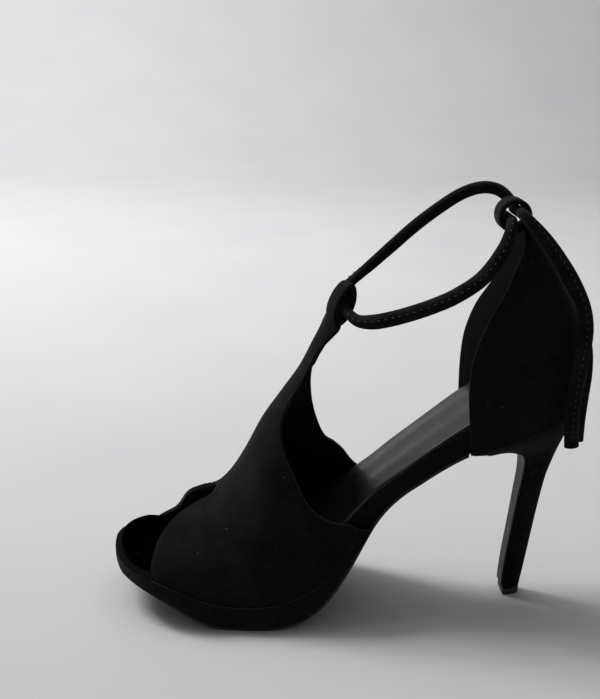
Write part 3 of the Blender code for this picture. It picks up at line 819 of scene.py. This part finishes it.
@dataclass
class Lace:
    """Suede strip folded round and sewn: one lace through both loops, and its two free ends."""

    narrow: float = 4.8
    wide: float = 6.0
    wide_outer: float = 6.8
    thick: float = 4.7
    spacing: float = 1.2
    sides: int = 14
    fine_steps: int = 12
    outwards: tuple[float, float] = (0.93, 0.36)
    turn_rate: float = 0.2
    loops: tuple[Vector, ...] = (place(85.0, 0.0, 147.0), place(11.3, 0.0, 185.8))
    opens: tuple[float, float] = (8.0, 22.0)
    stitch: StitchRow = field(default_factory=lambda: StitchRow(pitch=3.2, length=1.2, thread=0.6))
    plain_ends: int = 3

    def smooth_route(self, route: Route) -> list[Vector]:
        """Even points along a smooth curve through the points of a route.

        Args:
            route: points on the shoe.

        Returns:
            World points, one every spacing.
        """
        points = np.array(route)
        slopes = np.gradient(points, axis=0)
        shares = np.linspace(0.0, 1.0, self.fine_steps, endpoint=False)
        fine = [smooth_between(t, points[i], points[i + 1], slopes[i], slopes[i + 1])
                for i in range(len(points) - 1) for t in shares]
        track = np.array(fine + [points[-1]])
        lengths = run_lengths(track)
        marks = np.linspace(0.0, lengths[-1], math.ceil(lengths[-1] / self.spacing) + 1)
        return [place(*point_at(mark, lengths, track)) for mark in marks]

    def tangents(self, points: Sequence[Vector]) -> list[Vector]:
        """Direction of a route at each of its points."""
        last = len(points) - 1
        return [(points[min(i + 1, last)] - points[max(i - 1, 0)]).normalized() for i in range(last + 1)]

    def sewn_sides(self, points: Sequence[Vector]) -> list[Vector]:
        """Direction of the sewn side along a route; it turns slowly away from the ankle.

        Args:
            points: world points of the route.

        Returns:
            One direction for each point, square to the route.
        """
        sides: list[Vector] = []
        side = Vector()
        for point, tangent in zip(points, self.tangents(points)):
            away = Vector((0.0, math.copysign(self.outwards[0], point.y), self.outwards[1]))
            side = side + self.turn_rate * away * (1.0 - abs(tangent.dot(away))) if sides else away
            side = (side - tangent * side.dot(tangent)).normalized()
            sides.append(side.copy())
        return sides

    def width_at(self, point: Vector) -> float:
        """Width of the strip: flat in the open, drawn together where it runs through a loop."""
        clear = min((point - loop).length for loop in self.loops) / MM
        wide = self.wide_outer if point.y < 0.0 else self.wide
        return self.narrow + Margin(wide - self.narrow, *self.opens).at(clear)

    def build_run(self, name: str, route: Route, stands_for: str,
                  finishes: Finishes) -> tuple[Object, list[Vector]]:
        """Make one run of the lace with its row of stitches.

        Args:
            name: name of the piece.
            route: points on the shoe.
            stands_for: CAD node that it replaces.
            finishes: the shoe's materials.

        Returns:
            The piece and the world points that it follows.
        """
        points = self.smooth_route(route)
        flat = 0.5 * self.thick * MM
        turns = [2.0 * math.pi * k / self.sides for k in range(self.sides)]
        rings, seam = [], []
        for point, out, tangent in zip(points, self.sewn_sides(points), self.tangents(points)):
            across = tangent.cross(out)
            half = 0.5 * self.width_at(point) * MM
            rings.append([point + across * half * math.cos(turn) + out * flat * math.sin(turn) for turn in turns])
            seam.append((point + out * flat, out))
        piece = add_piece(name, lofted(rings), [finishes.lace], Slot.LACE, stands_for)
        self.stitch.build(name + "_stitches", [seam[self.plain_ends:-self.plain_ends]],
                          finishes.pale_thread, Slot.LACE)
        return piece, points

    def build(self, finishes: Finishes) -> None:
        self.build_run("lace_run", LACE_ROUTE, "lace", finishes)
        for name, route, node in (("lace_end_outer", OUTER_TAIL_ROUTE, "lace_tail_outer"),
                                  ("lace_end_inner", INNER_TAIL_ROUTE, "lace_tail_inner")):
            piece, points = self.build_run(name, route, node, finishes)
            length = sum((b - a).length for a, b in zip(points, points[1:]))
            tuple(points[0])
            self.width_at(points[-1]) * MM
            [tuple(point) for point in points]


# ---- sole


def sole_ring(forward: float, edges: tuple[float, float], low: float, high: float,
              lower: tuple[float, float], upper: tuple[float, float], top_steps: int = 8,
              crown: Callable[[float, float], float] | None = None) -> list[Vector]:
    """One slice across a sole piece, with rounded corners.

    Args:
        forward: place along the shoe.
        edges: outer and inner edge.
        low: height of the lower face.
        high: height of the upper face.
        lower: rounding of the two lower corners, across and up.
        upper: rounding of the two upper corners, across and up.
        top_steps: steps across the upper face.
        crown: extra height of the upper face at a place along and a share across.

    Returns:
        The slice as a closed ring of world points.
    """
    outer, inner = edges
    lower_in, upper_in = (min(corner[0], CORNER_SHARE * (inner - outer)) for corner in (lower, upper))
    lower_up, upper_up = (min(corner[1], CORNER_SHARE * (high - low)) for corner in (lower, upper))
    arc = [math.radians(18.0 * i) for i in range(6)]
    left = [(lower_in * (1 - math.sin(turn)), low + lower_up * (1 - math.cos(turn))) for turn in arc]
    left += [(upper_in * (1 - math.cos(turn)), high - upper_up * (1 - math.sin(turn))) for turn in arc]
    ring = [(outer + inset, height) for inset, height in left]
    for k in range(1, top_steps):
        share = k / top_steps
        lift = crown(forward, share) if crown else 0.0
        ring.append((outer + upper_in + (inner - outer - 2 * upper_in) * share, high + lift))
    ring += [(inner - inset, height) for inset, height in reversed(left)]
    return [place(forward, side, height) for side, height in ring]


@dataclass
class Sole:
    """Everything under the foot: outsole, wrapped platform, wrapped board and padded sock."""

    outsole_inset: float = 1.0
    outsole_widen: Margin = Margin(2.0, 66.0, 86.0)
    undercut: Margin = Margin(3.0, 142.0, 172.0)
    tip_lift: Margin = Margin(3.0, 187.0, 193.0)
    draw_in: Margin = Margin(3.2, 56.0, 72.0)
    open_toe: Margin = Margin(2.6, 171.0, 180.0)
    sock_inset: float = 0.7
    sock_thickness: float = 2.0
    sock_joint: float = 102.0
    toe_wrap: float = 150.0
    # ahead of toe_rim the platform's top takes the painted shade
    toe_rim: float = 171.0
    sock_soft: Margin = Margin(3.4, 140.0, 170.0)
    ridge_height: float = 0.75
    ridge_middle: float = 50.0
    ridge_reach: float = 32.0
    ridges: tuple[tuple[float, float, float], ...] = ((0.70, 0.13, 1.0), (0.26, 0.12, 0.8))
    crown_height: float = 0.4
    cut_face_area: float = 2e-6

    def outsole_margin(self, forward: float) -> float:
        """Margin of the outsole, which stays a little inside the wrapped sides."""
        return self.outsole_widen.at(forward) - self.undercut.at(forward) - self.outsole_inset

    def board_margin(self, forward: float) -> float:
        """Margin of the board, drawn in where the vamp's wall stands round it."""
        return self.open_toe.at(forward) - self.draw_in.at(forward)

    def sock_crown(self, forward: float, share: float) -> float:
        """Padding of the sock: a soft crown with two broad low ridges along the waist."""
        waist = math.exp(-((forward - self.ridge_middle) / self.ridge_reach) ** 2)
        ridges = sum(size * math.exp(-((share - middle) / reach) ** 2) for middle, reach, size in self.ridges)
        return self.ridge_height * waist * ridges + self.crown_height * math.sin(math.pi * share)

    def build_outsole(self, finishes: Finishes) -> None:
        """Thin resin sheet with a pale cut edge."""
        rings = []
        for forward in LAST.stations(LAST.breast_line + 0.6, self.outsole_margin(LAST.toe_end)):
            edges = LAST.outline(forward, self.outsole_margin(forward))
            rings.append(sole_ring(forward, edges, LAST.under(forward), LAST.outsole_top(forward),
                                   (0.35, 0.35), (0.3, 0.3)))
        bm = lofted(rings)
        bm.normal_update()
        for face in bm.faces:
            if -0.97 < face.normal.z < -0.1 and face.calc_area() < self.cut_face_area:
                face.material_index = 1
        add_piece("outsole_sheet", bm, [finishes.outsole, finishes.cut_edge], Slot.OUTSOLE, "outsole")

    def build_platform(self, finishes: Finishes) -> None:
        """Block under the forefoot, wrapped in suede: a lighter suede on its upper corner as a painted highlight, and
        a darker one on its top at the toe as painted shade.
        """
        margin = LAST.upper_wall + 2 * GAP
        rings = []
        for forward in LAST.stations(LAST.platform_rear, margin):
            low = LAST.outsole_top(forward) + GAP + self.tip_lift.at(forward)
            high = LAST.seam(forward) - GAP
            rings.append(sole_ring(forward, LAST.outline(forward, margin), low, high,
                                   (1.6 + self.undercut.at(forward), 0.4 * (high - low)), (0.8, 0.8)))
        bm = lofted(rings)
        bm.normal_update()
        finish_ahead(bm, self.toe_rim)
        # upper corner faces take the painted highlight; up-facing faces ahead of toe_rim take the painted shade
        for face in bm.faces:
            upward = face.normal.z > 0.25
            face.material_index = upward * (2 if face.material_index else int(face.normal.z < 0.9))
        add_piece("platform_wrap", bm, [finishes.upper, finishes.wear_and_highlight, finishes.rim], Slot.UPPER, "platform")

    def build_board(self, finishes: Finishes) -> None:
        """Board that carries the foot, wrapped in suede and at the toe in the sock's matt microfibre, coloured black
        as painted shade.
        """
        rings = []
        for forward in LAST.stations(LAST.seat_end, self.board_margin(LAST.toe_end)):
            edges = LAST.outline(forward, self.board_margin(forward))
            low = LAST.seat_plane(forward) + GAP if forward < LAST.breast_line else LAST.seam(forward)
            rings.append(sole_ring(forward, edges, low, BOARD.read("seat", forward), (0.6, 0.6), (0.9, 0.9)))
        bm = lofted(rings)
        finish_ahead(bm, self.toe_wrap)
        add_piece("insole_wrap", bm, [finishes.upper, finishes.sock_front], Slot.UPPER, "insole_board")

    def build_sock(self, finishes: Finishes) -> None:
        """Padded sock lining that the foot stands on."""
        rings = []
        for forward in LAST.stations(LAST.seat_end, self.board_margin(LAST.toe_end) - self.sock_inset):
            edges = LAST.outline(forward, self.board_margin(forward) - self.sock_inset)
            low = BOARD.read("seat", forward) + GAP
            soft = 1.6 + self.sock_soft.at(forward)
            rings.append(sole_ring(forward, edges, low, low + self.sock_thickness, (0.2, 0.2),
                                   (soft, 1.7), 40, self.sock_crown))
        bm = lofted(rings)
        # ahead of sock_joint the sock takes the matt toe finish, black as painted shade
        finish_ahead(bm, self.sock_joint)
        piece = add_piece("sock_lining", bm, [finishes.sock, finishes.sock_front], Slot.SOCK, "sock")

    def build(self, finishes: Finishes) -> None:
        """Make all the sole pieces."""
        self.build_outsole(finishes)
        self.build_platform(finishes)
        self.build_board(finishes)
        self.build_sock(finishes)


# ---- upper


@dataclass
class FoldedLoop:
    """Strap end folded back on itself into a loop for the lace."""

    forward: float
    height: float
    half_depth: float
    half_height: float
    wall: float
    width: float
    turn: float = 0.0
    lean: float = 0.0
    drop: float = 0.0
    taper: float = 0.0
    steps: int = 64

    def build(self, name: str, finishes: Finishes) -> None:
        """Make the loop as an oval ring of strap with rounded edges, drawn out below where it is sewn."""
        half, edge = 0.5 * self.width, 0.48 * self.wall
        skew = math.radians(self.turn)
        arc = [math.radians(22.5 * i) for i in range(9)]
        profile = [(0.5 * self.wall - edge * math.cos(turn), half - edge + edge * math.sin(turn)) for turn in arc]
        profile += [(0.5 * self.wall + edge * math.cos(turn), -half + edge - edge * math.sin(turn)) for turn in arc]
        rings = []
        for step in range(self.steps):
            turn = 2.0 * math.pi * step / self.steps
            low = max(-math.sin(turn), 0.0) ** 2
            depth = self.half_depth * (1.0 - self.taper * math.sin(turn))
            ring = []
            for inset, side in profile:
                sewn = self.drop * low * (1.0 - inset / self.wall)
                rise = (self.half_height - inset) * math.sin(turn) - sewn
                ahead = (depth - inset) * math.cos(turn) - self.lean * rise
                ring.append(place(self.forward + ahead * math.cos(skew) + side * math.sin(skew),
                                  side * math.cos(skew) - ahead * math.sin(skew), self.height + rise))
            rings.append(ring)
        add_piece(name, lofted(rings, closed_along=True), [finishes.upper], Slot.UPPER)


@dataclass
class Vamp:
    """One-piece front of the upper: open at the toe and behind, rising to a strap and a loop."""

    wall: float = 2.0
    toe_facing: float = 0.3
    seam_slack: float = 0.2
    ridge_skew: Margin = Margin(4.5, 100.0, 150.0)
    strap_turn: Margin = Margin(30.0, 98.0, 89.0)
    strap_hold: Margin = Margin(1.0, 70.0, 78.0)
    stitch_inset: float = 2.4
    lap_across: tuple[float, float] = (0.82, 0.99)
    lap_round: tuple[float, float] = (0.47, 0.53)
    lap_wall: float = 1.5
    loop: FoldedLoop = field(default_factory=lambda: FoldedLoop(
        forward=85.7, height=146.4, half_depth=5.2, half_height=8.3, wall=2.8, width=9.2, turn=24.0,
        lean=0.3, drop=3.0, taper=0.2))

    def surface(self, across: float, round_foot: float) -> Vector:
        """Point of the outer face.

        Args:
            across: 0 at the toe edge, 1 at the rear edge.
            round_foot: 0 at the sole on the outer side, 0.5 on the ridge, 1 at the sole on the inner side.

        Returns:
            The world point.
        """
        side = Side.INNER if round_foot > 0.5 else Side.OUTER
        along = 1.0 - abs(2.0 * round_foot - 1.0)
        toe, throat = np.array(TOE_EDGE[side].row(along)), np.array(THROAT_EDGE[side].row(along))
        forward, angle = ((1 - across) * toe + across * throat).tolist()
        outer, inner = LAST.outline(forward, self.wall + GAP)
        turn = math.radians(angle)
        ridge_side = self.ridge_skew.at(forward)
        edge = inner if side is Side.INNER else outer
        low = LAST.seam(forward) + self.seam_slack
        rise = max(math.sin(turn), 0.0) ** RIDGE.read("fullness", forward)
        height = low + (RIDGE.read("ridge", forward) - low) * rise
        reach = (edge - ridge_side) * math.cos(turn)
        skew = math.radians(self.strap_turn.at(forward) * self.strap_hold.at(angle))
        return place(forward + reach * math.sin(skew), ridge_side + reach * math.cos(skew), height)

    def build(self, finishes: Finishes) -> None:
        """Make the vamp with its lining, rolled edges, stitch rows and loop."""
        skin = Skin(self.surface, (0.5, 0.25))
        bm = skin.mesh(84, 150)
        uv_map = bm.loops.layers.uv.active
        # faces near the toe edge take material 3, so their inside is the facing, lightened as painted light
        for face in bm.faces:
            face.material_index = 3 * int(face.loops[0][uv_map].uv.x < self.toe_facing)
        piece = add_piece("vamp_upper", bm, [
            finishes.upper, finishes.lining, finishes.fold_highlight, finishes.upper, finishes.facing, finishes.fold_highlight],
            Slot.UPPER, "vamp")
        # the rims take the lighter folded-edge suede as a painted highlight
        add_wall(piece, self.wall, 0.7, material_offset=1, material_offset_rim=2)
        rows = ((1.0, 0.03, 0.44), (1.0, 0.56, 0.97), (0.0, 0.02, 0.98))
        StitchRow().build("vamp_edge_stitches", [
            skin.edge_row(edge, self.stitch_inset, start, end) for edge, start, end in rows],
            finishes.black_thread, Slot.UPPER)
        self.loop.build("vamp_loop", finishes)
        self.build_lap(skin, finishes)

    def build_lap(self, skin: Skin, finishes: Finishes) -> None:
        """End of the strap, folded down behind it below the loop."""
        def behind(u: float, v: float) -> Vector:
            """Point of the lap's face against the strap."""
            across, round_foot = np.interp(u, (0, 1), self.lap_across), np.interp(v, (0, 1), self.lap_round)
            return skin.point(across, round_foot) - skin.normal(across, round_foot) * (self.wall + 0.1) * MM
        piece = add_piece("strap_lap", Skin(behind, (0.5, 0.1)).mesh(12, 10), [finishes.upper], Slot.UPPER)
        add_wall(piece, self.lap_wall, 0.5)


@dataclass
class Counter:
    """Heel quarter with two wings, rising at the back to a tab and a loop."""

    wall: float = 2.4
    squareness: float = 0.13
    stitch_inset: float = 2.4
    loop: FoldedLoop = field(default_factory=lambda: FoldedLoop(
        forward=11.3, height=185.8, half_depth=7.6, half_height=7.7, wall=2.4, width=11.5))

    def surface(self, round_heel: float, level: float) -> Vector:
        """Point of the outer face.

        Args:
            round_heel: 0 at the outer wing's front edge, 0.5 at the back, 1 at the inner wing's front edge.
            level: 0 at the lower edge, 1 at the tab's top.

        Returns:
            The world point.
        """
        side = Side.INNER if round_heel > 0.5 else Side.OUTER
        turn = abs(2.0 * round_heel - 1.0)
        back = COUNTER.read("back", level)
        front = COUNTER.read(side.value + "_front", level)
        bend = math.radians(COUNTER.read("bend", level))
        power = 1.0 - self.squareness * (bend / math.radians(90.0)) ** 2
        reach = max(math.cos(bend * turn) - math.cos(bend), 0.0) / (1.0 - math.cos(bend))
        forward = front - (front - back) * reach ** power
        share = (forward - back) / (front - back)
        back_height = COUNTER.read("back_height", level)
        height = back_height + share * (COUNTER.read(side.value + "_height", level) - back_height)
        spread = COUNTER.read("half", level) * (math.sin(bend * turn) / math.sin(bend)) ** power
        return place(forward, spread if side is Side.INNER else -spread, height)

    def build(self, finishes: Finishes) -> None:
        """Make the counter with its lining, rolled edges, stitch rows and loop."""
        skin = Skin(self.surface, (0.25, 0.3))
        piece = add_piece("counter_upper", skin.mesh(96, 96),
                          [finishes.upper, finishes.heel_lining, finishes.rim], Slot.UPPER, "counter")
        # the rims take the darker rim suede as painted shade along the wing edges
        add_wall(piece, self.wall, 0.4, material_offset=1, material_offset_rim=2)
        StitchRow().build("counter_edge_stitches", [
            skin.edge_row(edge, self.stitch_inset, 0.02, 0.93) for edge in (0.0, 1.0)],
            finishes.black_thread, Slot.UPPER)
        self.loop.build("counter_loop", finishes)


# ---- heel


@dataclass
class Heel:
    """Slim covered heel with a smooth breast face and a wear piece."""

    squareness: float = 0.87
    breast_sheet: float = 0.9
    breast_share: float = 0.92
    breast_foot: float = 0.1
    slice_step: float = 0.125
    near: float = 0.05
    seat_lift: float = 0.2
    lift_grow: float = 1.02
    lift_slices: tuple[tuple[float, float], ...] = ((0.0, 0.4), (0.15, 0.15), (0.5, 0.0), (2.6, 0.0), (3.2, 0.15))

    def ring(self, row: float, steps: int = 44) -> list[Vector]:
        """One slice of the heel: a flat breast in front and a round back."""
        back, back_height, front, front_height, half = HEEL.row(row)
        ring = []
        for step in range(steps + 1):
            turn = math.pi * (step / steps - 0.5)
            reach = max(math.cos(turn), 0.0) ** self.squareness
            spread = math.copysign(abs(math.sin(turn)) ** self.squareness, turn)
            ring.append(place(front - (front - back) * reach, half * spread,
                              back_height + (1.0 - reach) * (front_height - back_height)))
        return ring

    def build_cover(self, finishes: Finishes) -> None:
        """Heel covered in suede."""
        rings = [self.ring(self.slice_step * i) for i in range(81)]
        rings[-1] = [point + Vector((0.0, 0.0, self.seat_lift * MM)) for point in rings[-1]]
        piece = add_piece("heel_cover", lofted(rings), [finishes.upper], Slot.UPPER, "heel", 40.0)
        round_edges(piece, 0.45, 40.0)

    def build_breast(self, finishes: Finishes) -> None:
        """Thin polished facing down the heel's front face."""
        face = GAP + self.breast_sheet
        rings = []
        for i in range(73):
            row = max(self.slice_step * i, self.breast_foot)
            _, _, front, front_height, half = HEEL.row(row)
            below, above = HEEL.row(row - self.near), HEEL.row(row + self.near)
            ahead, rise = above[2] - below[2], above[3] - below[3]
            length = math.hypot(ahead, rise)
            half *= self.breast_share
            rings.append([place(front + rise / length * lift, side, front_height - ahead / length * lift)
                          for side, lift in ((-half, GAP), (half, GAP), (half, face), (-half, face))])
        piece = add_piece("breast_facing", lofted(rings), [finishes.breast], Slot.BREAST, "heel_breast", 40.0)
        round_edges(piece, 0.25, segments=2)

    def build_lift(self, finishes: Finishes) -> None:
        """Moulded wear piece, flat on the floor."""
        middle = place(0.5 * (HEEL.read("back", 0) + HEEL.read("front", 0)), 0.0, 0.0)
        rings = []
        for height, shrink in self.lift_slices:
            ring = []
            for point in self.ring(0.0):
                flat = Vector((point.x, point.y, 0.0)) - middle
                ring.append(middle + flat * (self.lift_grow - shrink * MM / flat.length)
                            + Vector((0.0, 0.0, height * MM)))
            rings.append(ring)
        add_piece("lift_block", lofted(rings), [finishes.lift], Slot.LIFT, "top_lift", 40.0)

    def build(self, finishes: Finishes) -> None:
        """Make all the heel pieces."""
        self.build_cover(finishes)
        self.build_breast(finishes)
        self.build_lift(finishes)


# ---- studio


@dataclass(frozen=True)
class SoftLight:
    """Square soft light that looks at a point, with its places and its size in metres."""

    name: str
    stands: tuple[float, float, float]
    aim: tuple[float, float, float]
    size: float
    watts: float

    def build(self) -> None:
        """Make the light."""
        data = bpy.data.lights.new(self.name, "AREA")
        data.size, data.energy = self.size, self.watts
        light = bpy.data.objects.new(self.name, data)
        bpy.context.scene.collection.objects.link(light)
        light.location = self.stands
        light.rotation_mode = "QUATERNION"
        light.rotation_quaternion = (Vector(self.stands) - Vector(self.aim)).to_track_quat("Z", "Y")


@dataclass
class Studio:
    """Camera at the photo's angle, soft light and a plain pale floor."""

    azimuth: float = -1.84
    elevation: float = 16.67
    roll: float = 0.94
    distance: float = 473.3
    target: tuple[float, float, float] = (104.5, 0.0, 122.9)
    focal_pixels: float = 1036.8
    frame_pixels: int = 699
    sensor: float = 36.0
    ambient: float = 0.27
    floor_curve: float = 0.9
    lights: tuple[SoftLight, ...] = (
        SoftLight("window", (-0.9, 0.45, 1.3), (0.0, 0.0, 0.09), 1.2, 10.5),
        SoftLight("overhead", (0.1, 0.5, 1.4), (0.0, 0.0, 0.09), 1.2, 4.5),
        SoftLight("backdrop", (-1.2, 0.7, 1.7), (0.65, 2.3, 0.6), 1.0, 70.0))

    def build_camera(self) -> None:
        """Camera with the photo's angle, roll and field of view."""
        data = bpy.data.cameras.new("photo camera")
        data.sensor_width = self.sensor
        data.lens = self.focal_pixels * self.sensor / self.frame_pixels
        data.clip_start, data.clip_end = 0.01, 50.0
        camera = bpy.data.objects.new("photo camera", data)
        bpy.context.scene.collection.objects.link(camera)
        a, e = math.radians(self.azimuth), math.radians(self.elevation)
        back = Vector((math.sin(a) * math.cos(e), -math.cos(a) * math.cos(e), math.sin(e)))
        camera.location = place(*self.target) + back * self.distance * MM
        camera.rotation_mode = "QUATERNION"
        roll = Quaternion((0.0, 0.0, 1.0), math.radians(self.roll))
        camera.rotation_quaternion = back.to_track_quat("Z", "Y") @ roll
        bpy.context.scene.camera = camera

    def build_floor(self) -> None:
        """Pale floor that curves up into a backdrop far behind the shoe."""
        def sweep(u: float, v: float) -> Vector:
            """Point of the floor and backdrop."""
            turn = min(max((v - 0.5) / 0.25, 0.0), 1.0) * math.pi / 2
            ahead = -3.0 + 4.5 * min(v / 0.5, 1.0) + self.floor_curve * math.sin(turn)
            rise = self.floor_curve * (1 - math.cos(turn)) + 3.0 * max(v - 0.75, 0.0) / 0.25
            return Vector((8.0 * (u - 0.5), ahead, rise))
        bm = mapped_grid(4, 64, sweep)
        bmesh.ops.recalc_face_normals(bm, faces=bm.faces)
        mesh = bpy.data.meshes.new("floor")
        bm.to_mesh(mesh)
        bm.free()
        mesh.shade_smooth()
        material, tree, shader = new_material("matt floor paint", {"Roughness": 0.9, "Specular IOR Level": 0.1})
        # clouding of the paint, about 120 mm across
        cloud = add_pattern(tree, "Noise", 120.0, Detail=3.0)
        link_inputs(shader, {"Base Color": mixed(tree, cloud.outputs["Fac"], "#aeaeb0", "#b6b6b6")})
        mesh.materials.append(material)
        floor = bpy.data.objects.new("floor", mesh)
        bpy.context.scene.collection.objects.link(floor)

    def build(self) -> None:
        """Make the camera, the floor and the lights."""
        self.build_camera()
        self.build_floor()
        world = bpy.data.worlds.new("studio")
        bpy.context.scene.world = world
        world.use_nodes = True
        background = world.node_tree.nodes["Background"]
        background.inputs["Color"].default_value = linear("#f2f3f5")
        background.inputs["Strength"].default_value = self.ambient
        for light in self.lights:
            light.build()
        bpy.context.scene.view_settings.view_transform = "Standard"


def main() -> None:
    """Build the studio, the lace and then the rest of the shoe."""
    logging.basicConfig(level=logging.INFO, format="%(name)s: %(message)s")
    finishes = Finishes()
    Studio().build()
    Lace().build(finishes)
    Sole().build(finishes)
    Vamp().build(finishes)
    Counter().build(finishes)
    Heel().build(finishes)
    bpy.context.view_layer.update()


if __name__ == "__main__":
    main()
